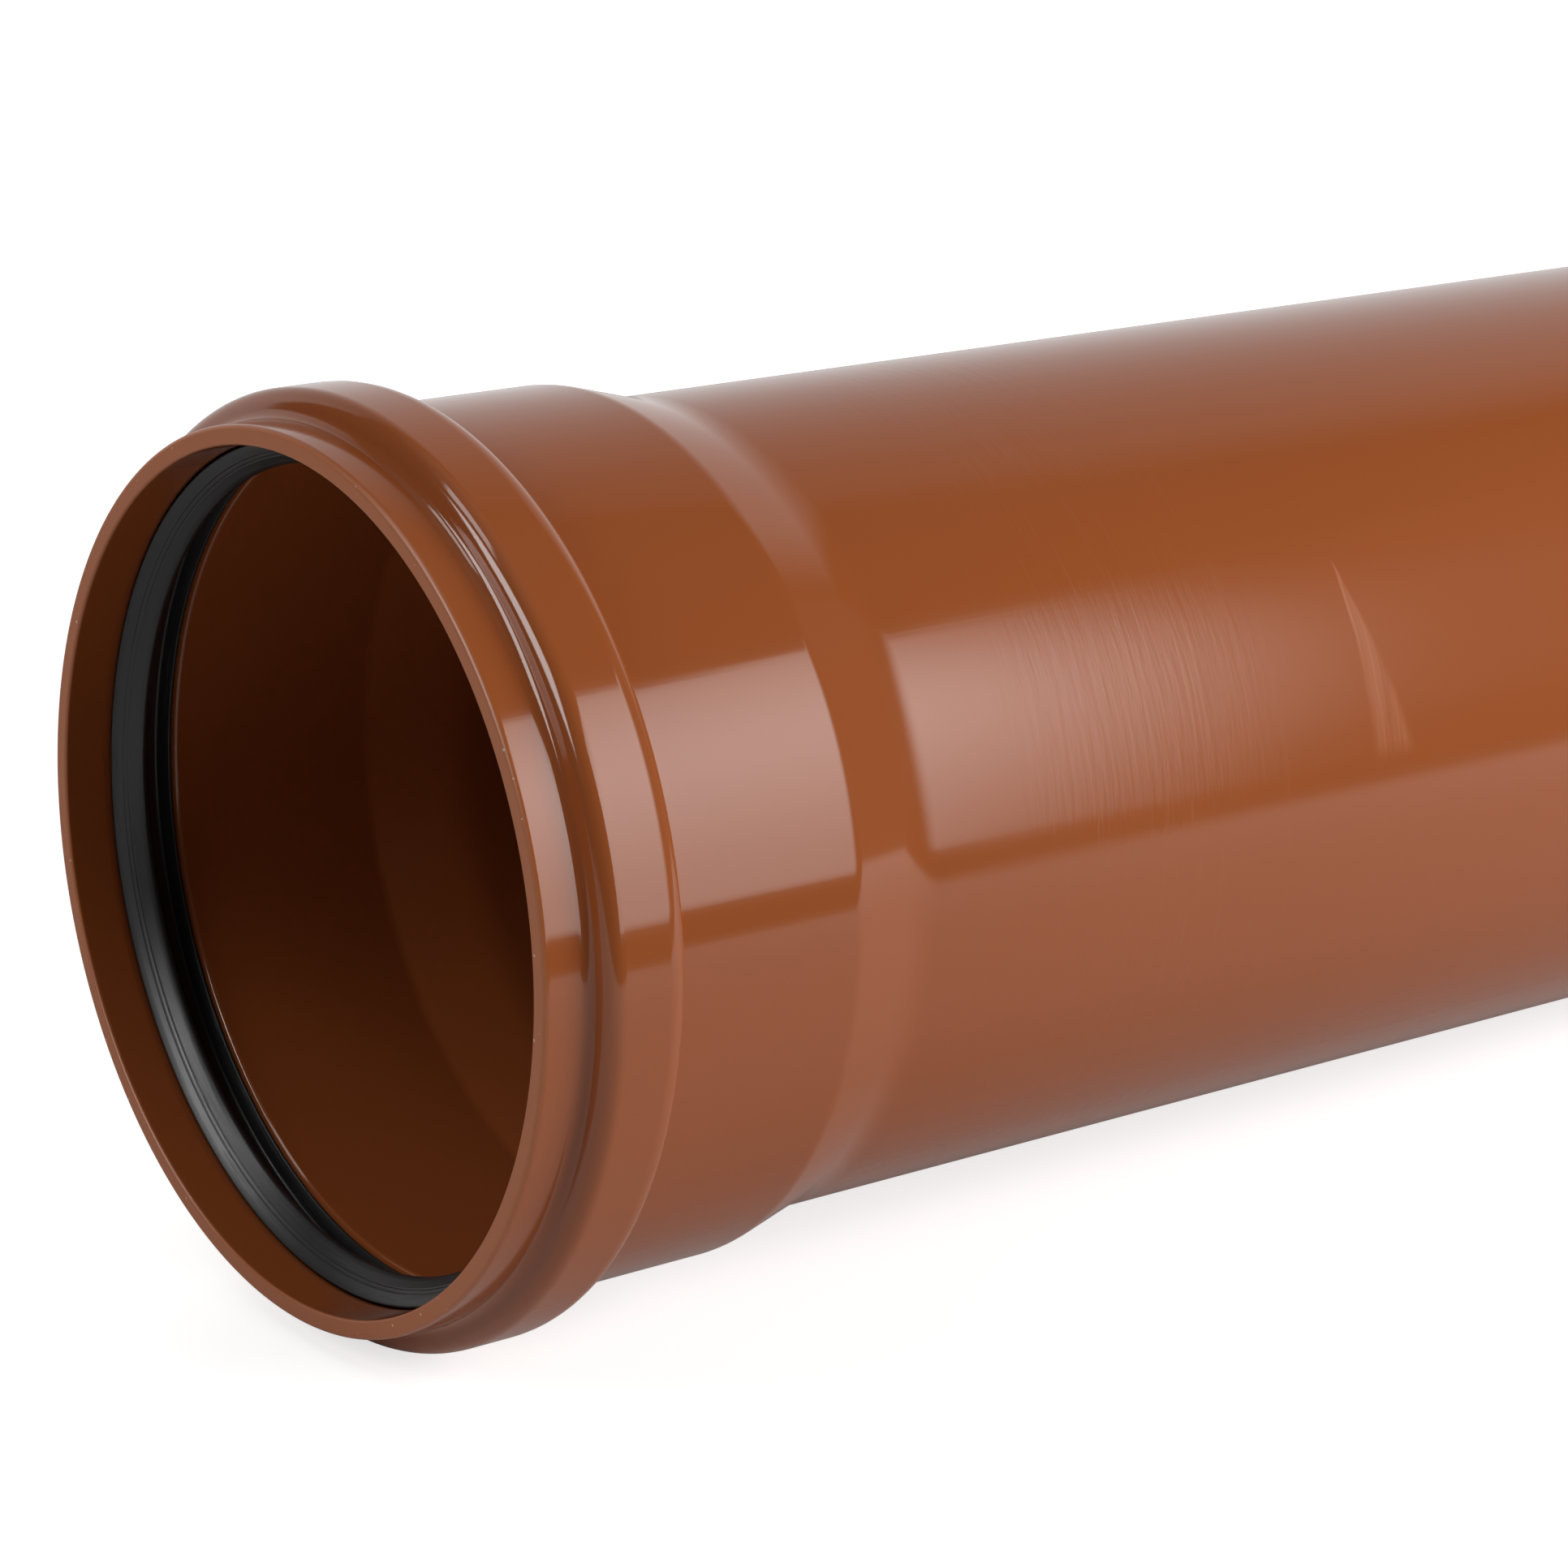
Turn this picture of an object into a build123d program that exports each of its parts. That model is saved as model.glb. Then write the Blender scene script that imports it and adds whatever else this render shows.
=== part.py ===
from build123d import *
from math import atan2, degrees, radians, tan
import os

# A drain pipe with a moulded-on push-fit socket and its rubber lip seal, lying on a floor.
# Every outline is drawn in the pipe's own frame: x runs along the axis from the mouth of the
# socket to the spigot end, y is the radius. Radii are worked out from the pipe's outside.

# Plain pipe
outside_diameter = 160.0
pipe_wall = 4.7
laying_length = 1000.0  # spigot end to the root of the socket, the length it is sold by
spigot_bevel_angle = 15.0
spigot_bevel_depth = 2.4  # how much of the wall the bevel takes off the end

# Entry lip: the short cylinder in front of the seal
entry_play = 1.1  # radial room round a spigot
entry_wall = 3.8
entry_length = 8.5  # mouth to where the inside starts to turn into the groove
mouth_outer_bevel = 0.6
mouth_inner_bevel = 0.4

# Seal groove, which stands out as a ring outside
groove_depth = 6.0  # from the socket's bore to the groove's floor
groove_floor_length = 9.3
groove_wall = 3.9
groove_side_lean = 14.0  # degrees off square, both sides
groove_mouth_round = 4.8
bulge_front_round = 2.6
bulge_rear_round = 5.2
bulge_rear_wall = 4.6

# Socket body and the cone that brings it down to the pipe
spigot_play = 0.4  # radial room round a spigot
socket_wall = 4.2
socket_body_length = 44.5  # behind the groove, at full bore
cone_angle = 14.9
cone_shoulder_round = 8.0
cone_root_round = 30.0

# Rubber lip seal
seal_seat_gap = 0.25
seal_nose_setback = 1.3  # from where the groove starts
seal_shoulder_bevel = 1.8
seal_heel_thickness = 2.6
seal_hollow_width = 3.9  # between the lip and the heel
seal_lip_bite = 4.2  # how far the free lip reaches inside the spigot's radius
seal_lip_setback = 5.4  # from the nose to the tip, along the axis
seal_lip_round = 0.9

# Radii
pipe_radius = outside_diameter / 2
pipe_bore_radius = pipe_radius - pipe_wall
entry_bore_radius = pipe_radius + entry_play
entry_radius = entry_bore_radius + entry_wall
socket_bore_radius = pipe_radius + spigot_play
socket_radius = socket_bore_radius + socket_wall
groove_radius = socket_bore_radius + groove_depth
bulge_radius = groove_radius + groove_wall

# Stations along the axis
lean = tan(radians(groove_side_lean))
mouth_round_reach = groove_mouth_round * tan(radians(90 - groove_side_lean) / 2)
groove_front_foot = entry_length + mouth_round_reach
groove_front = groove_front_foot + (groove_radius - entry_bore_radius) * lean
groove_rear = groove_front + groove_floor_length
groove_rear_foot = groove_rear + groove_depth * lean
wall_slant = (1 + lean**2) ** 0.5
bulge_front = groove_front - groove_wall * wall_slant + groove_wall * lean
bulge_front_foot = bulge_front - (bulge_radius - entry_radius) * lean
bulge_rear = groove_rear + bulge_rear_wall * wall_slant - groove_wall * lean
bulge_rear_foot = bulge_rear + (bulge_radius - socket_radius) * lean

cone_slope = tan(radians(cone_angle))
cone_wall_shift = socket_wall * tan(radians(cone_angle) / 2)
cone_start = groove_rear_foot + socket_body_length
cone_end = cone_start + (socket_bore_radius - pipe_bore_radius) / cone_slope
cone_outer_start = cone_start - cone_wall_shift
cone_outer_end = cone_outer_start + (socket_radius - pipe_radius) / cone_slope
overall_length = cone_end + laying_length
bevel_length = spigot_bevel_depth / tan(radians(spigot_bevel_angle))
bevel_start = overall_length - bevel_length


def turned(corners):
    """Spin a closed outline, given as (x, radius, corner round), about the axis."""
    points = [(x, radius) for x, radius, corner_round in corners]
    rounds = [corner_round for x, radius, corner_round in corners]
    outline = make_face(FilletPolyline(*points, radius=rounds, close=True))
    return revolve(outline, axis=Axis.X)


def make_pipe():
    outside = [
        (0, entry_radius - mouth_outer_bevel, 0),
        (mouth_outer_bevel, entry_radius, 0),
        (bulge_front_foot, entry_radius, 0),
        (bulge_front, bulge_radius, bulge_front_round),
        (bulge_rear, bulge_radius, bulge_rear_round),
        (bulge_rear_foot, socket_radius, 0),
        (cone_outer_start, socket_radius, cone_shoulder_round),
        (cone_outer_end, pipe_radius, cone_root_round),
        (bevel_start, pipe_radius, 0),
        (overall_length, pipe_radius - spigot_bevel_depth, 0),
    ]
    inside = [
        (overall_length, pipe_bore_radius, 0),
        (cone_end, pipe_bore_radius, cone_root_round),
        (cone_start, socket_bore_radius, cone_shoulder_round),
        (groove_rear_foot, socket_bore_radius, 0),
        (groove_rear, groove_radius, 0),
        (groove_front, groove_radius, 0),
        (groove_front_foot, entry_bore_radius, groove_mouth_round),
        (mouth_inner_bevel, entry_bore_radius, 0),
        (0, entry_bore_radius + mouth_inner_bevel, 0),
    ]
    return turned(outside + inside)


def make_seal_ring():
    """The heel fills the back of the groove and the lip leans inwards, away from the mouth."""
    side_gap = seal_seat_gap * wall_slant
    nose = entry_length + seal_nose_setback
    seat_radius = groove_radius - seal_seat_gap
    seat_front = groove_front + side_gap - seal_seat_gap * lean
    seat_rear = groove_rear - side_gap + seal_seat_gap * lean
    shoulder = groove_front_foot + side_gap
    bevel_rise = seal_shoulder_bevel / wall_slant
    heel_radius = seat_radius - seal_heel_thickness
    heel_rear = seat_rear + seal_heel_thickness * lean
    return turned([
        (nose, entry_bore_radius, 0),
        (shoulder - seal_shoulder_bevel, entry_bore_radius, 0),
        (shoulder + bevel_rise * lean, entry_bore_radius + bevel_rise, 0),
        (seat_front, seat_radius, 0),
        (seat_rear, seat_radius, 0),
        (heel_rear, heel_radius, 0),
        (heel_rear - seal_hollow_width, heel_radius, 0),
        (nose + seal_lip_setback, pipe_radius - seal_lip_bite, seal_lip_round),
    ])


# It lies on the ring of the groove and on the start of the spigot's bevel, so the axis dips a
# little towards the spigot. The origin is on the floor, under the middle of the bounding box.
dip = degrees(atan2(bulge_radius - pipe_radius, bevel_start - bulge_rear))


def lie_down(solids):
    dipped = [Rot(0, dip, 0) * solid for solid in solids]
    box = dipped[0].bounding_box()
    to_floor = Pos(-(box.min.X + box.max.X) / 2, -(box.min.Y + box.max.Y) / 2, -box.min.Z)
    return [to_floor * solid for solid in dipped]


pipe, seal_ring = lie_down([make_pipe(), make_seal_ring()])
os.makedirs("parts", exist_ok=True)
for name, solid in {"pipe": pipe, "seal_ring": seal_ring}.items():
    export_step(solid, f"parts/{name}.step")
    box = solid.bounding_box()
    print(f"{name}: {solid.volume / 1000:.1f} cm3, {box.min} to {box.max}")
print(f"overall length {overall_length:.2f}, axis dips {dip:.3f} degrees")
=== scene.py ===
import math

import bmesh
import bpy
from mathutils import Matrix, Vector


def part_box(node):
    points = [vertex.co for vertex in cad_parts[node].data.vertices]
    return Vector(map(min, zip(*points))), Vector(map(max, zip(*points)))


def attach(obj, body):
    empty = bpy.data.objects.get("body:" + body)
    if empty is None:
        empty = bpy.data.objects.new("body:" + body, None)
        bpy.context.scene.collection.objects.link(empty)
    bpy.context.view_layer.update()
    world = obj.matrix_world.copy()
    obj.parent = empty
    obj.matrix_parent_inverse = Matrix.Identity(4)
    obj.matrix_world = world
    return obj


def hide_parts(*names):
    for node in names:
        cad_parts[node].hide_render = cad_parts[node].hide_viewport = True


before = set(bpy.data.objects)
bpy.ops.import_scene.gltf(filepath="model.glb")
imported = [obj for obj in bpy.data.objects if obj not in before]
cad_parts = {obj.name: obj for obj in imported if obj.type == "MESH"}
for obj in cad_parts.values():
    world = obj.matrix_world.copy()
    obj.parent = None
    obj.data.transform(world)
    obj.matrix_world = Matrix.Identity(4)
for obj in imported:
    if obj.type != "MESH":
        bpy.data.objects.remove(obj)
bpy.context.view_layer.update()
mm = 0.001
print("frame loaded")


# camera and studio

cameraSetup = {
    "place": (-0.9717, -0.7143, 0.3516),
    "heading": 52.753,  # degrees from +X towards +Y
    "down": 16.27,
    "lens": 108.8,
    "sensor": 36.0,
    "clipStart": 0.02,
}


def makeCamera(setup):
    cameraData = bpy.data.cameras.new("photoCamera")
    cameraData.lens = setup["lens"]
    cameraData.sensor_width = setup["sensor"]
    cameraData.clip_start = setup["clipStart"]
    camera = bpy.data.objects.new("photoCamera", cameraData)
    camera.location = setup["place"]
    camera.rotation_euler = [math.radians(angle) for angle in (90 - setup["down"], 0, setup["heading"] - 90)]
    bpy.context.scene.collection.objects.link(camera)
    bpy.context.scene.camera = camera


makeCamera(cameraSetup)
bpy.context.scene.view_settings.view_transform = "Standard"

# The studio is set out from the mouth of the pipe: "right" and "ahead" as the camera looks.
studio = {
    "mouth": (-0.544, 0.0, 0.09),
    "floorSize": 24.0,
    "floorColour": (0.74, 0.74, 0.74),
    "floorLift": 0.70,  # what the camera sees on top of the lit floor; far off it is white
    "liftReach": (0.6, 1.5),  # from the middle of the floor
    "floorShine": (0.0, 0.28),  # the same for reflections: beside the pipe, and at the table's edge
    "shineFrom": (-0.12, -0.38),  # y
    "ambient": 0.03,
    "backdropAhead": 1.45,
    "backdropHalfWidth": 3.0,
    "backdropHeight": 2.59,
    "backdropGlow": 0.83,
    "backdropFade": 0.05,
    "backdropRise": (0.25, 1.60),  # height over distance from the mouth, across which it fades out
    "backdropSide": (1.05, 2.10),  # and how far to the right
    "ceilingGlow": 0.20,
    "ceilingReach": (0.8, 2.0),
}

darkRoom = {  # the unlit studio round the table
    "glow": 0.05,
    "reach": 4.0,
    "height": 2.6,
    "tableEdge": -0.42,  # y; in front of it reflections see the dark floor
    "floorHeight": 0.001,
}

softbox = {  # what the gloss shows: a tall face to the right, brightest in the middle, fading at its far end
    "turn": -15.0,
    "away": 0.90,
    "ends": (-0.55, 1.10),
    "heights": (0.03, 0.82),
    "glow": 4.9,
    "edgeGlow": 3.0,
    "middle": 0.50,
    "middleReach": 0.42,
    "farGlow": 0.10,
    "farStart": 0.045,
    "farLean": 0.28,
    "farSoft": 0.11,
}

lamps = {  # place, aim, width, height, power, whether it lights surfaces, whether the gloss shows it
    "sideLamp": ((0.40, -1.05, 0.55), (-0.22, 0.0, 0.09), 1.2, 0.8, 21.8, True, False),
    "topLamp": ((-0.45, 0.25, 1.75), (-0.35, 0.0, 0.09), 1.0, 1.0, 3.0, True, False),
    "backLamp": ((0.05, 1.40, 0.90), (-0.20, 0.0, 0.09), 1.1, 0.7, 6.6, True, False),
    "mouthLamp": ((-1.15, 0.15, 1.25), (-0.50, 0.0, 0.06), 0.4, 0.4, 2.2, True, True),
    "frontCard": ((-1.68, 0.0, 0.80), (-0.50, 0.0, 0.06), 1.10, 0.50, 13.0, False, True),
    "lowLamp": ((-1.58, 0.08, 0.78), (-0.50, 0.0, 0.06), 0.5, 0.5, 4.4, True, False),
}

white = (1, 1, 1, 1)


def toTheRight(turn=0.0):  # the camera's level right, turned by some degrees
    heading = math.radians(cameraSetup["heading"] - 90 + turn)
    return Vector((math.cos(heading), math.sin(heading), 0))


def straightAhead(turn=0.0):  # level, and square to that
    right = toTheRight(turn)
    return Vector((-right.y, right.x, 0))


def studioPoint(right, ahead, height, turn=0.0):
    foot = Vector((*studio["mouth"][:2], height))
    return foot + toTheRight(turn) * right + straightAhead(turn) * ahead


def feed(tree, socket, value):  # a link from another socket, or a plain value
    if isinstance(value, bpy.types.NodeSocket):
        tree.links.new(value, socket)
    else:
        socket.default_value = value


def node(tree, kind, inputs=None, **settings):
    made = tree.nodes.new(kind)
    for name, value in settings.items():
        setattr(made, name, value)
    for name, value in (inputs or {}).items():
        feed(tree, made.inputs[name], value)
    return made


def sums(tree, operation, first, second=0.0, third=0.0):
    return node(tree, "ShaderNodeMath", {0: first, 1: second, 2: third}, operation=operation).outputs[0]


def vectorSums(tree, operation, first, second=(0, 0, 0)):
    made = node(tree, "ShaderNodeVectorMath", {0: first, 1: second}, operation=operation)
    return made.outputs["Value" if operation in ("LENGTH", "DISTANCE", "DOT_PRODUCT") else "Vector"]


def ramp(tree, value, low, high, toLow=0.0, toHigh=1.0, smooth=False):
    inputs = {"Value": value, "From Min": low, "From Max": high, "To Min": toLow, "To Max": toHigh}
    kind = "SMOOTHSTEP" if smooth else "LINEAR"
    return node(tree, "ShaderNodeMapRange", inputs, interpolation_type=kind).outputs[0]


def objectPlace(tree):
    return node(tree, "ShaderNodeTexCoord").outputs["Object"]


def parts(tree, place):
    return node(tree, "ShaderNodeSeparateXYZ", {0: place}).outputs


def raysThat(tree, *kinds):  # 1 for the named kinds of ray
    path = node(tree, "ShaderNodeLightPath")
    value = path.outputs[kinds[0]]
    for kind in kinds[1:]:
        value = sums(tree, "MAXIMUM", value, path.outputs[kind])
    return value


def alongDirection(tree, direction):  # how far a place lies from the mouth
    reach = vectorSums(tree, "DOT_PRODUCT", objectPlace(tree), tuple(direction))
    return sums(tree, "SUBTRACT", reach, Vector((*studio["mouth"][:2], 0)).dot(direction))


def newMaterial(name):
    material = bpy.data.materials.new(name)
    material.use_nodes = True
    material.node_tree.nodes.clear()
    return material, material.node_tree


def glowMaterial(name, strength):  # strength is a number, or a function that makes its nodes
    material, tree = newMaterial(name)
    material.cycles.emission_sampling = "NONE"
    value = strength(tree) if callable(strength) else strength
    glow = node(tree, "ShaderNodeEmission", {"Color": white, "Strength": value})
    node(tree, "ShaderNodeOutputMaterial", {"Surface": glow.outputs[0]})
    return material


def stageObject(name, corners, material):  # corners: four for each face
    faces = [tuple(range(i, i + 4)) for i in range(0, len(corners), 4)]
    mesh = bpy.data.meshes.new(name)
    mesh.from_pydata([tuple(corner) for corner in corners], [], faces)
    mesh.materials.append(material)
    made = bpy.data.objects.new(name, mesh)
    bpy.context.scene.collection.objects.link(made)
    return made


def onlyInReflections(made):
    made.visible_camera = False
    made.visible_diffuse = False
    made.visible_shadow = False
    made.visible_transmission = False


def makeFloor():
    material, tree = newMaterial("paleFloor")
    material.cycles.emission_sampling = "NONE"
    paper = node(tree, "ShaderNodeBsdfDiffuse", {"Color": (*studio["floorColour"], 1)})
    place = objectPlace(tree)
    lift = ramp(tree, vectorSums(tree, "LENGTH", place), *studio["liftReach"], studio["floorLift"], 1.0)
    seen = sums(tree, "MULTIPLY", raysThat(tree, "Is Camera Ray"), lift)
    shine = ramp(tree, parts(tree, place)["Y"], *studio["shineFrom"], *studio["floorShine"])
    reflected = sums(tree, "MULTIPLY", raysThat(tree, "Is Glossy Ray", "Is Transmission Ray"), shine)
    glow = node(tree, "ShaderNodeEmission", {"Color": white, "Strength": sums(tree, "ADD", seen, reflected)})
    both = node(tree, "ShaderNodeAddShader", {0: paper.outputs[0], 1: glow.outputs[0]})
    node(tree, "ShaderNodeOutputMaterial", {"Surface": both.outputs[0]})
    half = studio["floorSize"] / 2
    stageObject("floor", [(-half, -half, 0), (half, -half, 0), (half, half, 0), (-half, half, 0)], material)


def makeBackdrop():
    fade = studio["backdropFade"]

    def strength(tree):
        level = vectorSums(tree, "MULTIPLY", objectPlace(tree), (1, 1, 0))
        distance = vectorSums(tree, "DISTANCE", level, (*studio["mouth"][:2], 0))
        rise = sums(tree, "DIVIDE", parts(tree, objectPlace(tree))["Z"], distance)
        up = ramp(tree, rise, *studio["backdropRise"], studio["backdropGlow"], fade)
        toRight = alongDirection(tree, toTheRight())
        side = ramp(tree, toRight, *studio["backdropSide"], 1.0, fade, smooth=True)
        return sums(tree, "MULTIPLY", up, side)

    half, top = studio["backdropHalfWidth"], studio["backdropHeight"]
    outline = [(-half, 0), (half, 0), (half, top), (-half, top)]
    corners = [studioPoint(side, studio["backdropAhead"], height) for side, height in outline]
    onlyInReflections(stageObject("backdrop", corners, glowMaterial("backdropPaper", strength)))


def makeDarkRoom(room):  # only reflections see it, and what bounces off its floor
    far, top, edge, level = room["reach"], room["height"], room["tableEdge"], room["floorHeight"]
    beyondTable = [(-far, -far, level), (far, -far, level), (far, edge, level), (-far, edge, level)]
    darkFloor = stageObject("darkFloor", beyondTable, glowMaterial("unlitFloor", room["glow"]))
    onlyInReflections(darkFloor)
    darkFloor.visible_diffuse = True

    def overhead(tree):
        away = vectorSums(tree, "DISTANCE", objectPlace(tree), studioPoint(0, 0, top))
        return ramp(tree, away, *studio["ceilingReach"], studio["ceilingGlow"], room["glow"], smooth=True)

    ring = [(-far, -far), (far, -far), (far, far), (-far, far)]
    ceiling = [(x, y, top) for x, y in ring]
    onlyInReflections(stageObject("ceiling", ceiling, glowMaterial("ceilingPaper", overhead)))
    walls = []
    for (x0, y0), (x1, y1) in zip(ring, ring[1:] + ring[:1]):
        walls += [(x0, y0, 0), (x1, y1, 0), (x1, y1, top), (x0, y0, top)]
    onlyInReflections(stageObject("darkStudio", walls, glowMaterial("unlitRoom", room["glow"])))


def makeSoftbox(light):
    def strength(tree):
        height = parts(tree, objectPlace(tree))["Z"]
        fromMiddle = sums(tree, "ABSOLUTE", sums(tree, "SUBTRACT", height, light["middle"]))
        reach = light["middleReach"]
        face = ramp(tree, fromMiddle, 0.0, reach, light["glow"], light["edgeGlow"], smooth=True)
        ahead = alongDirection(tree, straightAhead(light["turn"]))
        past = sums(tree, "MULTIPLY_ADD", height, -light["farLean"], ahead)
        past = sums(tree, "SUBTRACT", past, light["farStart"])
        share = ramp(tree, past, -light["farSoft"], light["farSoft"], 1.0, 0.0, smooth=True)
        brighter = sums(tree, "SUBTRACT", face, light["farGlow"])
        return sums(tree, "MULTIPLY_ADD", share, brighter, light["farGlow"])

    (near, far), (low, high) = light["ends"], light["heights"]
    outline = [(near, low), (far, low), (far, high), (near, high)]
    corners = [studioPoint(light["away"], end, height, light["turn"]) for end, height in outline]
    onlyInReflections(stageObject("softbox", corners, glowMaterial("softboxFace", strength)))


def makeLamp(name, place, aim, width, height, power, lights, shines):
    lamp = bpy.data.lights.new(name, "AREA")
    lamp.shape = "RECTANGLE"
    lamp.size, lamp.size_y, lamp.energy = width, height, power
    made = bpy.data.objects.new(name, lamp)
    made.location = place
    made.rotation_euler = (Vector(aim) - Vector(place)).to_track_quat("-Z", "Y").to_euler()
    made.visible_camera = False
    made.visible_diffuse = lights
    made.visible_glossy = shines
    bpy.context.scene.collection.objects.link(made)


def makeWorld():
    world = bpy.data.worlds.new("studioWorld")
    bpy.context.scene.world = world
    world.use_nodes = True
    tree = world.node_tree
    tree.nodes.clear()
    seen = raysThat(tree, "Is Camera Ray", "Is Glossy Ray", "Is Transmission Ray")
    strength = ramp(tree, seen, 0, 1, studio["ambient"], 1.0)
    glow = node(tree, "ShaderNodeBackground", {"Color": white, "Strength": strength})
    node(tree, "ShaderNodeOutputWorld", {"Surface": glow.outputs[0]})


makeFloor()
makeBackdrop()
makeDarkRoom(darkRoom)
makeSoftbox(softbox)
for name, values in lamps.items():
    makeLamp(name, *values)
makeWorld()
print("camera and studio set")


# shape of the pipe and its seal: millimetres along the axis from the mouth, and out from the axis

pipe = {
    "radius": 80.0,
    "wall": 4.7,
    "layingLength": 1000.0,
    "bevelAngle": 15.0,
    "bevelDepth": 2.4,
    "bevelRound": 0.5,
    "endRound": 0.4,
    "entryPlay": 1.1,
    "entryWall": 3.8,
    "entryLength": 8.5,
    "rimOuterRound": 1.0,
    "rimInnerRound": 0.6,
    "grooveDepth": 6.0,
    "grooveFloorLength": 9.3,
    "grooveWall": 3.9,
    "grooveLean": 14.0,
    "grooveMouthRound": 4.8,
    "grooveFloorRound": 1.0,
    "grooveRearRound": 1.0,
    "bulgeFrontRound": 3.5,
    "bulgeRearRound": 5.2,
    "bulgeRearWall": 4.6,
    "bulgeFrontFootRound": 2.2,
    "bulgeRearFootRound": 0.7,
    "socketPlay": 0.4,
    "socketWall": 4.2,
    "socketLength": 44.5,
    "coneAngle": 14.9,
    "coneShoulderRound": 8.0,
    "coneRootRound": 30.0,
    "sides": 256,
    "cornerSteps": 8,
}

seal = {
    "seatGap": 0.25,
    "noseSetback": 1.3,
    "shoulderBevel": 1.8,
    "heelThickness": 2.6,
    "crestHeight": 5.0,  # of the low wall behind the lip, which hides the back of the groove
    "crestWidth": 0.6,
    "crestRound": 0.25,
    "hollowWidth": 3.9,
    "hollowStep": 1.6,
    "hollowRearRound": 0.8,
    "hollowFrontRound": 1.0,
    "lipBite": 4.2,
    "lipSetback": 5.4,
    "lipRound": 0.9,
    "noseRound": 0.8,
    "edgeRound": 0.35,
    "lipBow": 0.45,  # how far the lip's front bows out
    "bowPlaces": (0.22, 0.78),  # share of the way from nose to tip
    "bowRound": 3.0,
    "linePlaces": (0.40, 0.52),
    "lineDepth": 0.07,
    "lineWidth": 0.45,
    "lineEdgeRound": 0.12,
    "lineFloorRound": 0.10,
    "sides": 256,
    "cornerSteps": 6,
}


def pipeStations(size):  # radii, and where the socket's parts begin along the axis, as for the solid
    lean = math.tan(math.radians(size["grooveLean"]))
    slant = math.hypot(1, lean)
    entryBore = size["radius"] + size["entryPlay"]
    socketBore = size["radius"] + size["socketPlay"]
    groove = socketBore + size["grooveDepth"]
    at = {
        "lean": lean,
        "slant": slant,
        "entryBore": entryBore,
        "entryOuter": entryBore + size["entryWall"],
        "socketBore": socketBore,
        "socketOuter": socketBore + size["socketWall"],
        "groove": groove,
        "bulge": groove + size["grooveWall"],
        "bore": size["radius"] - size["wall"],
    }
    reach = size["grooveMouthRound"] * math.tan(math.radians(90 - size["grooveLean"]) / 2)
    at["grooveFrontFoot"] = size["entryLength"] + reach
    at["grooveFront"] = at["grooveFrontFoot"] + (groove - entryBore) * lean
    at["grooveRear"] = at["grooveFront"] + size["grooveFloorLength"]
    at["grooveRearFoot"] = at["grooveRear"] + size["grooveDepth"] * lean
    at["bulgeFront"] = at["grooveFront"] - size["grooveWall"] * slant + size["grooveWall"] * lean
    at["bulgeFrontFoot"] = at["bulgeFront"] - (at["bulge"] - at["entryOuter"]) * lean
    at["bulgeRear"] = at["grooveRear"] + size["bulgeRearWall"] * slant - size["grooveWall"] * lean
    at["bulgeRearFoot"] = at["bulgeRear"] + (at["bulge"] - at["socketOuter"]) * lean
    slope = math.tan(math.radians(size["coneAngle"]))
    at["coneStart"] = at["grooveRearFoot"] + size["socketLength"]
    at["coneEnd"] = at["coneStart"] + (socketBore - at["bore"]) / slope
    halfSlope = math.tan(math.radians(size["coneAngle"]) / 2)
    at["coneOuterStart"] = at["coneStart"] - size["socketWall"] * halfSlope
    at["coneOuterEnd"] = at["coneOuterStart"] + (at["socketOuter"] - size["radius"]) / slope
    at["length"] = at["coneEnd"] + size["layingLength"]
    at["bevelStart"] = at["length"] - size["bevelDepth"] / math.tan(math.radians(size["bevelAngle"]))
    return at


def pipeOutline(size, at):
    return [
        (0, at["entryOuter"], size["rimOuterRound"]),
        (at["bulgeFrontFoot"], at["entryOuter"], size["bulgeFrontFootRound"]),
        (at["bulgeFront"], at["bulge"], size["bulgeFrontRound"]),
        (at["bulgeRear"], at["bulge"], size["bulgeRearRound"]),
        (at["bulgeRearFoot"], at["socketOuter"], size["bulgeRearFootRound"]),
        (at["coneOuterStart"], at["socketOuter"], size["coneShoulderRound"]),
        (at["coneOuterEnd"], size["radius"], size["coneRootRound"]),
        (at["bevelStart"], size["radius"], size["bevelRound"]),
        (at["length"], size["radius"] - size["bevelDepth"], size["endRound"]),
        (at["length"], at["bore"], size["endRound"]),
        (at["coneEnd"], at["bore"], size["coneRootRound"]),
        (at["coneStart"], at["socketBore"], size["coneShoulderRound"]),
        (at["grooveRearFoot"], at["socketBore"], size["grooveRearRound"]),
        (at["grooveRear"], at["groove"], size["grooveFloorRound"]),
        (at["grooveFront"], at["groove"], size["grooveFloorRound"]),
        (at["grooveFrontFoot"], at["entryBore"], size["grooveMouthRound"]),
        (0, at["entryBore"], size["rimInnerRound"]),
    ]


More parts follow.
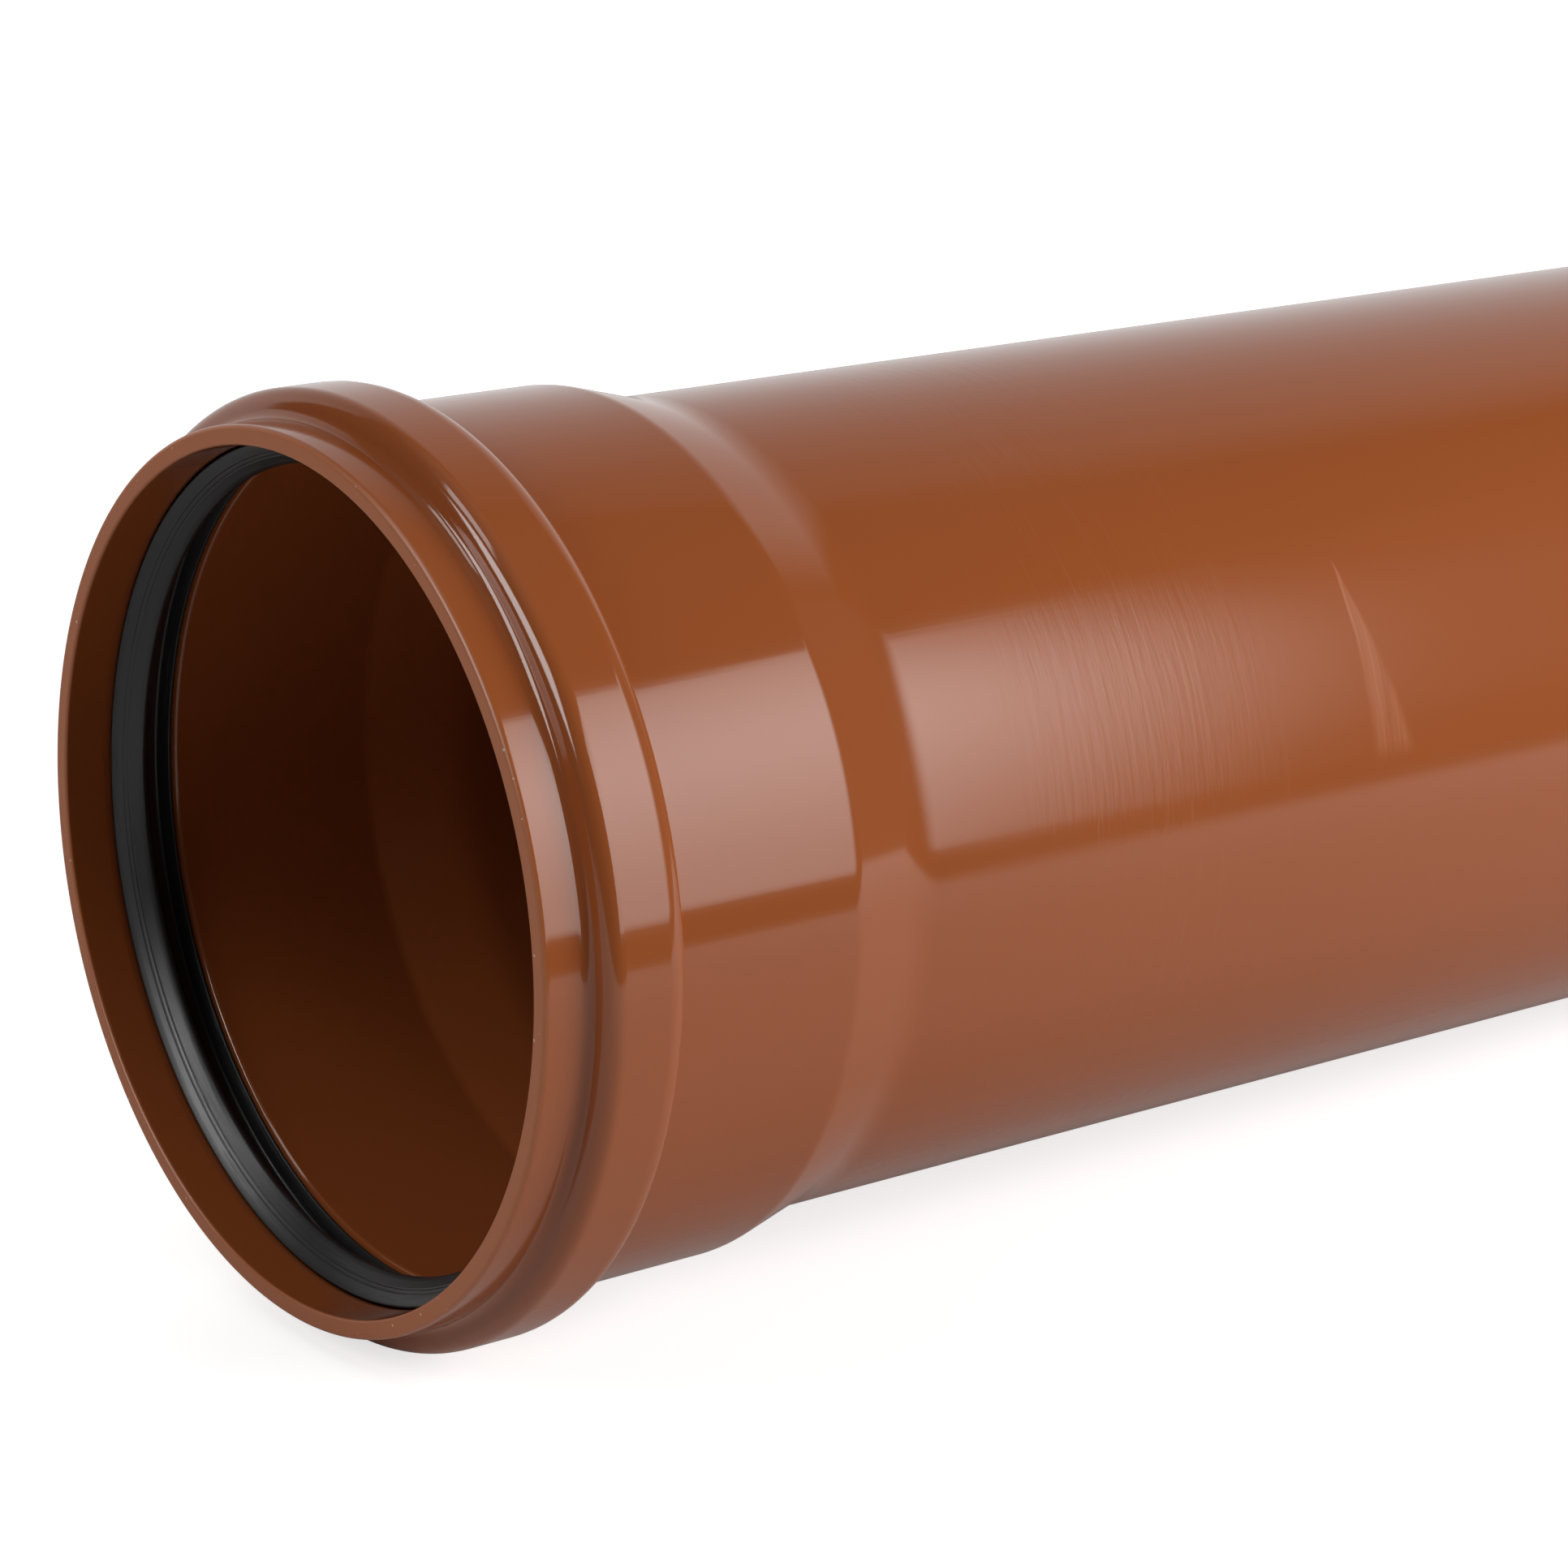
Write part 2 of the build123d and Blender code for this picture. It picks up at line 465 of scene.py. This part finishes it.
def sealOutline(size, at, hull):
    # The heel fills the back of the groove. The lip leans inwards, with fine moulded lines where it shows.
    gap = size["seatGap"] * at["slant"]
    nose = hull["entryLength"] + size["noseSetback"]
    seat = at["groove"] - size["seatGap"]
    seatFront = at["grooveFront"] + gap - size["seatGap"] * at["lean"]
    seatRear = at["grooveRear"] - gap + size["seatGap"] * at["lean"]
    shoulder = at["grooveFrontFoot"] + gap
    rise = size["shoulderBevel"] / at["slant"]
    heel = seat - size["heelThickness"]
    heelRear = seatRear + size["heelThickness"] * at["lean"]
    crest = seat - size["crestHeight"]
    crestRear = seatRear + size["crestHeight"] * at["lean"]
    tip = Vector((nose + size["lipSetback"], hull["radius"] - size["lipBite"]))
    front = Vector((nose, at["entryBore"]))
    outline = [
        (*front, size["noseRound"]),
        (shoulder - size["shoulderBevel"], at["entryBore"], size["edgeRound"]),
        (shoulder + rise * at["lean"], at["entryBore"] + rise, size["edgeRound"]),
        (seatFront, seat, size["edgeRound"]),
        (seatRear, seat, size["edgeRound"]),
        (crestRear, crest, size["crestRound"]),
        (crestRear - size["crestWidth"], crest, size["crestRound"]),
        (heelRear - size["hollowStep"], heel, size["hollowRearRound"]),
        (heelRear - size["hollowWidth"], heel, size["hollowFrontRound"]),
        (*tip, size["lipRound"]),
    ]
    way = (front - tip).normalized()
    inward = Vector((-way.y, way.x))
    if inward.x < 0:
        inward = -inward
    half = way * size["lineWidth"] / 2
    for share in sorted(size["linePlaces"] + size["bowPlaces"], reverse=True):
        middle = front.lerp(tip, share) - inward * size["lipBow"] * 4 * share * (1 - share)
        if share in size["bowPlaces"]:
            outline.append((*middle, size["bowRound"]))
            continue
        outline += [
            (*(middle - half), size["lineEdgeRound"]),
            (*(middle + inward * size["lineDepth"]), size["lineFloorRound"]),
            (*(middle + half), size["lineEdgeRound"]),
        ]
    return outline


def makeOutlineCurve(name, corners, sweepRadius):
    # Each point carries its corner's round as the curve radius.
    # Held points beside the rounds keep long faces flat.
    beside, edgeShare = 0.15, 0.45  # mm past the round, and how much of an edge that may take
    points = []
    count = len(corners)
    for i, (along, out, corner) in enumerate(corners):
        here = Vector((along, out))
        before = Vector(corners[i - 1][:2]) - here
        after = Vector(corners[(i + 1) % count][:2]) - here
        turn = math.pi - before.angle(after)
        reach = corner * math.tan(turn / 2) + beside
        if reach < before.length * edgeShare:
            points.append((here + before.normalized() * reach, 0.0))
        points.append((here, corner))
        if reach < after.length * edgeShare:
            points.append((here + after.normalized() * reach, 0.0))
    curve = bpy.data.curves.new(name, "CURVE")
    curve.dimensions = "3D"
    spline = curve.splines.new("POLY")
    spline.points.add(len(points) - 1)
    for target, (place, corner) in zip(spline.points, points):
        target.co = ((place.y - sweepRadius) * mm, -place.x * mm, 0, 1)
        target.radius = corner * mm
    spline.use_cyclic_u = True
    made = bpy.data.objects.new(name, curve)
    bpy.context.scene.collection.objects.link(made)
    return made


def makeTurningTree():
    # round the outline's corners, sweep it round the axis, lay it down, give it its material
    tree = bpy.data.node_groups.new("turnOutline", "GeometryNodeTree")
    inputs = {"Geometry": "Geometry", "Sweep Radius": "Float", "Sides": "Int", "Corner Steps": "Int",
              "Turn": "Vector", "Material": "Material"}
    for label, kind in inputs.items():
        tree.interface.new_socket(label, in_out="INPUT", socket_type="NodeSocket" + kind)
    tree.interface.new_socket("Geometry", in_out="OUTPUT", socket_type="NodeSocketGeometry")
    given = tree.nodes.new("NodeGroupInput").outputs

    def step(kind, inputs, **settings):
        return node(tree, "GeometryNode" + kind, inputs, **settings).outputs[0]

    rounded = step("FilletCurve", {
        "Curve": given["Geometry"],
        "Count": given["Corner Steps"],
        "Radius": step("InputRadius", {}),
        "Limit Radius": True,
    }, mode="POLY")
    circle = step("CurvePrimitiveCircle", {"Resolution": given["Sides"], "Radius": given["Sweep Radius"]})
    upright = step("SetCurveNormal", {"Curve": circle}, mode="Z_UP")
    swept = step("CurveToMesh", {"Curve": upright, "Profile Curve": rounded})
    laid = step("Transform", {"Geometry": swept, "Rotation": given["Turn"]})
    smooth = step("SetShadeSmooth", {"Geometry": laid, "Shade Smooth": True})
    whole = step("RealizeInstances", {"Geometry": smooth})
    finished = step("SetMaterial", {"Geometry": whole, "Material": given["Material"]})
    feed(tree, tree.nodes.new("NodeGroupOutput").inputs["Geometry"], finished)
    return tree


def runTree(made, tree, values):
    modifier = made.modifiers.new(tree.name, "NODES")
    modifier.node_group = tree
    for item in tree.interface.items_tree:
        if item.item_type == "SOCKET" and item.in_out == "INPUT" and item.name in values:
            modifier[item.identifier] = values[item.name]
    evaluated = made.evaluated_get(bpy.context.evaluated_depsgraph_get())
    mesh = bpy.data.meshes.new_from_object(evaluated)
    bpy.data.objects.remove(made)
    return mesh


def outwards(mesh):
    work = bmesh.new()
    work.from_mesh(mesh)
    bmesh.ops.remove_doubles(work, verts=work.verts, dist=0.001 * mm)
    bmesh.ops.recalc_face_normals(work, faces=work.faces)
    if work.calc_volume(signed=True) < 0:
        bmesh.ops.reverse_faces(work, faces=work.faces)
    work.to_mesh(mesh)
    work.free()


def lowCorner(mesh):
    return Vector([min(vertex.co[axis] for vertex in mesh.vertices) for axis in range(3)])


def addPiece(name, mesh, replaced):
    mesh.name = name
    made = bpy.data.objects.new(name, mesh)
    bpy.context.scene.collection.objects.link(made)
    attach(made, "root")
    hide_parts(replaced)


# finishes

def newGroup(name, inputs, outputs):  # inputs {name: (kind, starting value)}, outputs {name: kind}
    group = bpy.data.node_groups.new(name, "ShaderNodeTree")
    for label, (kind, value) in inputs.items():
        socket = group.interface.new_socket(label, in_out="INPUT", socket_type="NodeSocket" + kind)
        if value is not None:
            socket.default_value = value
    for label, kind in outputs.items():
        group.interface.new_socket(label, in_out="OUTPUT", socket_type="NodeSocket" + kind)
    return group, group.nodes.new("NodeGroupInput").outputs, group.nodes.new("NodeGroupOutput").inputs


def roundTheAxis(tree, place):  # how far along the axis, and the unit direction out from it
    part = parts(tree, place)
    across = node(tree, "ShaderNodeCombineXYZ", {"Y": part["Y"], "Z": part["Z"]}).outputs[0]
    return part["X"], vectorSums(tree, "NORMALIZE", across)


def stretched(tree, along, out, alongScale, aroundScale):
    # where a noise is read, so that it stretches round or along the pipe without a seam
    scaled = node(tree, "ShaderNodeVectorMath", {0: out, "Scale": aroundScale}, operation="SCALE").outputs[0]
    lengthwise = node(tree, "ShaderNodeCombineXYZ", {"X": sums(tree, "MULTIPLY", along, alongScale)})
    return vectorSums(tree, "ADD", scaled, lengthwise.outputs[0])


def window(tree, value, low, high, soft):  # 1 between low and high, with soft ends
    rising = ramp(tree, value, low - soft, low + soft, smooth=True)
    return sums(tree, "MULTIPLY", rising, ramp(tree, value, high - soft, high + soft, 1.0, 0.0, smooth=True))


def noise(tree, where, scale=1.0, detail=2.0, rough=0.5):
    inputs = {"Vector": where, "Scale": scale, "Detail": detail, "Roughness": rough}
    return node(tree, "ShaderNodeTexNoise", inputs).outputs[0]


def makeDrawLines():  # faint lines along the pipe, as the extruder's die leaves them
    inputs = {"Place": ("Vector", None), "Lines": ("Float", 60.0), "Run": ("Float", 1.5)}
    group, given, result = newGroup("drawLines", inputs, {"Height": "Float"})
    along, out = roundTheAxis(group, given["Place"])
    height = noise(group, stretched(group, along, out, given["Run"], given["Lines"]), 1.0, 3.0, 0.6)
    feed(group, result["Height"], height)
    return group


def makeTurnScratches():
    # fine scratches round the pipe, in patches; Wave is the shallow unevenness they come with
    inputs = {"Place": ("Vector", None), "Density": ("Float", 900.0), "Patch": ("Float", 9.0),
              "Cover": ("Float", 0.5), "Wave Density": ("Float", 260.0)}
    group, given, result = newGroup("turnScratches", inputs, {"Mask": "Float", "Wave": "Float"})
    along, out = roundTheAxis(group, given["Place"])
    lines = noise(group, stretched(group, along, out, given["Density"], 3.5), 1.0, 4.0, 0.7)
    low = sums(group, "SUBTRACT", 1.0, given["Cover"])
    patches = ramp(group, noise(group, given["Place"], given["Patch"]), low, sums(group, "ADD", low, 0.2))
    wave = noise(group, stretched(group, along, out, given["Wave Density"], 5.0), 1.0, 3.0, 0.6)
    feed(group, result["Mask"], sums(group, "MULTIPLY", ramp(group, lines, 0.56, 0.72), patches))
    feed(group, result["Wave"], wave)
    return group


def makeSpecks():  # sparse dust, or crumbs of swarf: a share of the cells holds one each
    inputs = {"Place": ("Vector", None), "Per Metre": ("Float", 90.0), "Size": ("Float", 0.05),
              "Share": ("Float", 0.2)}
    group, given, result = newGroup("specks", inputs, {"Mask": "Float"})
    spread = {"Vector": given["Place"], "Scale": given["Per Metre"], "Randomness": 1.0}
    cells = node(group, "ShaderNodeTexVoronoi", spread).outputs
    chance = node(group, "ShaderNodeSeparateColor", {0: cells["Color"]}).outputs
    size = sums(group, "MULTIPLY", given["Size"], sums(group, "ADD", 0.4, chance["Green"]))
    near = sums(group, "LESS_THAN", cells["Distance"], size)
    kept = sums(group, "LESS_THAN", chance["Red"], given["Share"])
    feed(group, result["Mask"], sums(group, "MULTIPLY", near, kept))
    return group


def makeScuffBand():  # a rubbed mark round part of the front: thin lines, a point at the top and wider below
    inputs = {"Place": ("Vector", None), "Start": ("Float", 0.2), "Top": ("Float", 0.6),
              "Foot": ("Float", 0.1), "Widening": ("Float", 0.03), "Lines": ("Float", 1000.0)}
    group, given, result = newGroup("scuffBand", inputs, {"Mask": "Float"})
    along, out = roundTheAxis(group, given["Place"])
    side = parts(group, out)  # Top and Foot are heights of this direction, from 1 at the top to -1
    wobble = sums(group, "SUBTRACT", noise(group, given["Place"], 60.0), 0.5)
    shifted = sums(group, "MULTIPLY_ADD", wobble, 0.0016, along)
    below = sums(group, "SUBTRACT", given["Top"], side["Z"])
    leastWidth = 0.0002
    width = sums(group, "MAXIMUM", sums(group, "MULTIPLY", below, given["Widening"]), leastWidth)
    share = sums(group, "DIVIDE", sums(group, "SUBTRACT", shifted, given["Start"]), width)
    inBand = window(group, share, 0.12, 0.80, 0.12)
    foot = ramp(group, side["Z"], given["Foot"], sums(group, "ADD", given["Foot"], 0.05))
    ends = sums(group, "MULTIPLY", ramp(group, below, 0.0, 0.03), foot)
    lines = noise(group, stretched(group, shifted, out, given["Lines"], 1.2), 1.0, 3.0, 0.65)
    band = sums(group, "MULTIPLY", inBand, ends)
    band = sums(group, "MULTIPLY", sums(group, "LESS_THAN", side["Y"], 0.0), band)  # on the front alone
    feed(group, result["Mask"], sums(group, "MULTIPLY", ramp(group, lines, 0.38, 0.62, 0.25, 1.0), band))
    return group


groups = {
    "drawLines": makeDrawLines(),
    "turnScratches": makeTurnScratches(),
    "specks": makeSpecks(),
    "scuffBand": makeScuffBand(),
}

plasticFinish = {
    "colour": (0.300, 0.078, 0.0205),
    "toneCells": 9.0,  # per metre
    "toneSwing": 0.08,
    "socketRoughness": 0.10,  # the formed socket is glossier than the drawn pipe
    "pipeRoughness": 0.145,
    "socketEnd": (0.075, 0.110),  # metres from the mouth, as are the next three
    "scratched": (0.122, 0.172),
    "uneven": (0.112, 0.172),
    "softEnds": 0.02,
    "turnScratches": {"Density": 1500.0, "Patch": 7.0, "Cover": 0.6, "Wave Density": 620.0},
    "drawLines": {"Lines": 55.0, "Run": 1.2},
    "scuff": {"Start": 0.1985, "Top": 0.60, "Foot": 0.11, "Widening": 0.029, "Lines": 1100.0},
    "dust": {"Per Metre": 82.0, "Size": 0.012, "Share": 0.10},
    "swarf": {"Per Metre": 430.0, "Size": 0.10, "Share": 0.07},
    "scuffColour": (0.44, 0.175, 0.085),
    "dustColour": (0.75, 0.66, 0.58),
    "cutColourAndPaintedLight": (0.40, 0.118, 0.037),  # trimmed faces are paler and matt; part of that paleness is painted light, making the rim face brighter than the lamps light it
    "cutRoughness": 0.38,
    "cutDepth": 0.0006,
    "pales": {"scuff": 0.34, "scratch": 0.14, "dust": 0.8, "swarf": 0.6},
    "dulls": {"scuff": 0.12, "scratch": 0.10},
    "heights": {"wave": 1.7, "line": 0.30, "scratch": -0.25},
    "bump": (0.10, 0.0002),  # strength, and metres
}

rubberFinish = {
    "colour": (0.018, 0.0175, 0.018),
    "dustColour": (0.35, 0.30, 0.26),
    "dustShare": 0.5,
    "roughness": 0.36,
    "cloudCells": 40.0,
    "cloudSwing": 0.16,  # of the roughness
    "turnScratches": {"Density": 2600.0, "Patch": 18.0, "Cover": 0.8, "Wave Density": 900.0},
    "dust": {"Per Metre": 170.0, "Size": 0.035, "Share": 0.12},
    "waveHeight": 1.5,
    "bump": (0.30, 0.0001),
}


def placeFromMouth(tree, mouthPlace, dip):  # Object coordinates, with X along the axis from the mouth
    inputs = {"Vector": objectPlace(tree), "Location": tuple(mouthPlace), "Rotation": (0, dip, 0)}
    return node(tree, "ShaderNodeMapping", inputs, vector_type="TEXTURE").outputs[0]


def mark(tree, kind, place, values):
    return node(tree, "ShaderNodeGroup", {"Place": place, **values}, node_tree=groups[kind]).outputs


def mixColour(tree, share, first, second, blend="MIX"):
    mixed = node(tree, "ShaderNodeMix", data_type="RGBA", blend_type=blend)
    for index, value in ((0, share), (6, first), (7, second)):  # its colour sockets
        feed(tree, mixed.inputs[index], (*value, 1) if isinstance(value, tuple) else value)
    return mixed.outputs[2]


def makeSurface(tree, colour, roughness, height, bump):
    strength, depth = bump
    normal = node(tree, "ShaderNodeBump", {"Strength": strength, "Distance": depth, "Height": height})
    inputs = {"Base Color": colour, "Roughness": roughness, "IOR": 1.5, "Normal": normal.outputs[0]}
    shader = node(tree, "ShaderNodeBsdfPrincipled", inputs)
    node(tree, "ShaderNodeOutputMaterial", {"Surface": shader.outputs[0]})


def fillPlastic(tree, finish, mouthPlace, dip, length):
    place = placeFromMouth(tree, mouthPlace, dip)
    along = parts(tree, place)["X"]
    soft = finish["softEnds"]
    pales, dulls, heights = finish["pales"], finish["dulls"], finish["heights"]

    lines = mark(tree, "drawLines", place, finish["drawLines"])["Height"]
    turned = mark(tree, "turnScratches", place, finish["turnScratches"])
    scuff = mark(tree, "scuffBand", place, finish["scuff"])["Mask"]
    dust = mark(tree, "specks", place, finish["dust"])["Mask"]
    swarf = mark(tree, "specks", place, finish["swarf"])["Mask"]
    scratched = sums(tree, "MULTIPLY", turned["Mask"], window(tree, along, *finish["scratched"], soft))
    uneven = sums(tree, "MULTIPLY", turned["Wave"], window(tree, along, *finish["uneven"], soft))
    fromEnd = sums(tree, "MINIMUM", along, sums(tree, "SUBTRACT", length, along))
    cut = ramp(tree, fromEnd, finish["cutDepth"] * 0.5, finish["cutDepth"] * 1.5, 1.0, 0.0)

    clouds = noise(tree, place, finish["toneCells"], 3.0)
    tone = sums(tree, "MULTIPLY_ADD", clouds, finish["toneSwing"], 1 - finish["toneSwing"] / 2)
    grey = node(tree, "ShaderNodeCombineXYZ", {0: tone, 1: tone, 2: tone}).outputs[0]
    colour = mixColour(tree, 1.0, finish["colour"], grey, "MULTIPLY")
    for worn, share in ((scuff, pales["scuff"]), (scratched, pales["scratch"])):
        colour = mixColour(tree, sums(tree, "MULTIPLY", worn, share), colour, finish["scuffColour"])
    # the trimmed faces' paler colour: partly their own matt cut surface, partly painted light that brightens
    # the rim face
    colour = mixColour(tree, cut, colour, finish["cutColourAndPaintedLight"])
    crumbs = sums(tree, "MULTIPLY", sums(tree, "MULTIPLY", swarf, pales["swarf"]), cut)
    pale = sums(tree, "MAXIMUM", sums(tree, "MULTIPLY", dust, pales["dust"]), crumbs)
    colour = mixColour(tree, pale, colour, finish["dustColour"])

    socket, drawn = finish["socketRoughness"], finish["pipeRoughness"]
    gloss = ramp(tree, along, *finish["socketEnd"], socket, drawn, smooth=True)
    gloss = sums(tree, "MULTIPLY_ADD", scuff, dulls["scuff"], gloss)
    gloss = sums(tree, "MULTIPLY_ADD", scratched, dulls["scratch"], gloss)
    roughness = sums(tree, "MULTIPLY_ADD", cut, sums(tree, "SUBTRACT", finish["cutRoughness"], gloss), gloss)

    height = sums(tree, "MULTIPLY", lines, heights["line"])
    height = sums(tree, "MULTIPLY_ADD", uneven, heights["wave"], height)
    height = sums(tree, "MULTIPLY_ADD", scratched, heights["scratch"], height)
    makeSurface(tree, colour, roughness, height, finish["bump"])


def fillRubber(tree, finish, mouthPlace, dip):
    place = placeFromMouth(tree, mouthPlace, dip)
    turned = mark(tree, "turnScratches", place, finish["turnScratches"])
    dust = mark(tree, "specks", place, finish["dust"])["Mask"]
    dusty = sums(tree, "MULTIPLY", dust, finish["dustShare"])
    colour = mixColour(tree, dusty, finish["colour"], finish["dustColour"])
    clouds = noise(tree, place, finish["cloudCells"], 3.0)
    swing = finish["cloudSwing"]
    roughness = sums(tree, "MULTIPLY_ADD", clouds, swing, finish["roughness"] - swing / 2)
    height = sums(tree, "MULTIPLY_ADD", turned["Wave"], finish["waveHeight"], turned["Mask"])
    makeSurface(tree, colour, roughness, height, finish["bump"])


# the pieces

at = pipeStations(pipe)
dip = math.atan2(at["bulge"] - pipe["radius"], at["bevelStart"] - at["bulgeRear"])
turnTree = makeTurningTree()
plastic, plasticTree = newMaterial("orangeBrownPlastic")
rubber, rubberTree = newMaterial("blackRubber")


def turnedMesh(name, size, corners, material):
    curve = makeOutlineCurve(name, corners, pipe["radius"])
    mesh = runTree(curve, turnTree, {
        "Sweep Radius": pipe["radius"] * mm,
        "Sides": size["sides"],
        "Corner Steps": size["cornerSteps"],
        "Turn": (0.0, math.pi / 2 + dip, 0.0),
        "Material": material,
    })
    outwards(mesh)
    triangles = sum(len(face.vertices) - 2 for face in mesh.polygons)
    print(name, len(mesh.vertices), "vertices", triangles, "triangles")
    return mesh


pipeMesh = turnedMesh("pipe_shell", pipe, pipeOutline(pipe, at), plastic)
sealMesh = turnedMesh("lip_seal", seal, sealOutline(seal, at, pipe), rubber)
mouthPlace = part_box("pipe")[0] - lowCorner(pipeMesh)
mouthPlace.y = 0
print("mouth at", tuple(round(value, 5) for value in mouthPlace))
for mesh in (pipeMesh, sealMesh):
    mesh.transform(Matrix.Translation(mouthPlace))
addPiece("pipe_shell", pipeMesh, "pipe")
addPiece("lip_seal", sealMesh, "seal_ring")
print("pipe and seal made")

fillPlastic(plasticTree, plasticFinish, mouthPlace, dip, at["length"] * mm)
fillRubber(rubberTree, rubberFinish, mouthPlace, dip)
print("finishes made")
